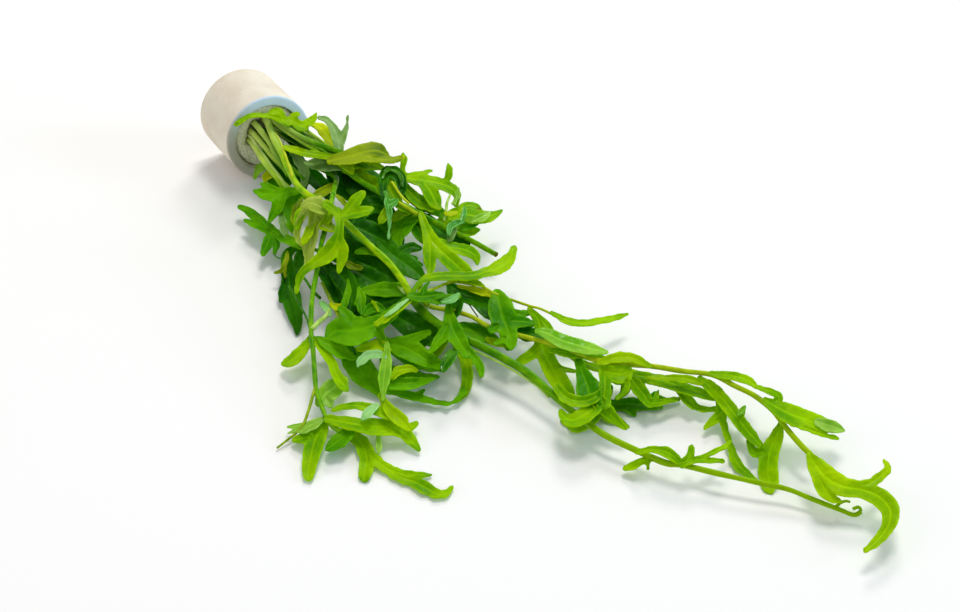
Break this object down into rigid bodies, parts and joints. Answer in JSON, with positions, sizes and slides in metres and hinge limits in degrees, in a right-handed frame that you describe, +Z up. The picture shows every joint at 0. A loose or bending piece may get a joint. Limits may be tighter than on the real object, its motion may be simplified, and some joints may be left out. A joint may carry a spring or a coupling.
{
  "type": "bunched aquarium water sprite in a ceramic ring",
  "caption": "Bunch of water sprite lying on its side, its green fronds held by a fibre plug in a short ceramic ring.",
  "frame": {"origin": "on the surface that the bunch lies on, under the middle of the whole bunch's box", "axes": "+X along the ring's axis, from the ring towards the tips of the fronds; +Z up; +Y to the left of +X seen from above"},
  "size_m": [0.2964, 0.139, 0.0329],
  "materials": {
    "ceramic": "matte unglazed",
    "plug_fibre": "rough mineral fibre",
    "stem_green": "smooth damp plant stem",
    "leaf_green": "soft wet leaf"
  },
  "bodies": {
    "root": {"ceramic_ring": "ceramic", "leaf_by_main": "leaf_green", "leaf_centre_fan": "leaf_green", "leaf_centre_long": "leaf_green", "leaf_centre_strap": "leaf_green", "leaf_dark_gloss": "leaf_green", "leaf_deep_back": "leaf_green", "leaf_deep_fan": "leaf_green", "leaf_deep_low": "leaf_green", "leaf_deep_ring": "leaf_green", "leaf_drop_fork": "leaf_green", "leaf_end": "leaf_green", "leaf_far": "leaf_green", "leaf_far_low": "leaf_green", "leaf_flap": "leaf_green", "leaf_fork": "leaf_green", "leaf_front_arc": "leaf_green", "leaf_front_end": "leaf_green", "leaf_front_fork": "leaf_green", "leaf_front_left": "leaf_green", "leaf_front_right": "leaf_green", "leaf_front_shade": "leaf_green", "leaf_front_small": "leaf_green", "leaf_left_dark": "leaf_green", "leaf_left_fan": "leaf_green", "leaf_long_strap": "leaf_green", "leaf_main_node": "leaf_green", "leaf_node_left": "leaf_green", "leaf_node_right": "leaf_green", "leaf_over_ring": "leaf_green", "leaf_right_big": "leaf_green", "leaf_right_drop": "leaf_green", "leaf_shade_wide": "leaf_green", "leaf_strip": "leaf_green", "leaf_thin_down": "leaf_green", "leaf_thin_end": "leaf_green", "leaf_tip_down": "leaf_green", "leaf_tip_end": "leaf_green", "leaf_tip_hook": "leaf_green", "leaf_tip_pale": "leaf_green", "leaf_tip_side": "leaf_green", "leaf_top": "leaf_green", "leaf_top_low": "leaf_green", "leaf_two_arms": "leaf_green", "leaf_wet_tip": "leaf_green", "leaf_yellow": "leaf_green", "plug": "plug_fibre", "stem_front": "stem_green", "stem_inner": "stem_green", "stem_long": "stem_green", "stem_lower_left": "stem_green", "stem_main": "stem_green", "stem_middle": "stem_green", "stem_right": "stem_green", "stem_short": "stem_green", "stem_thin": "stem_green", "stem_upper": "stem_green", "stem_upper_low": "stem_green", "stem_upper_right": "stem_green"}
  },
  "joints": []
}
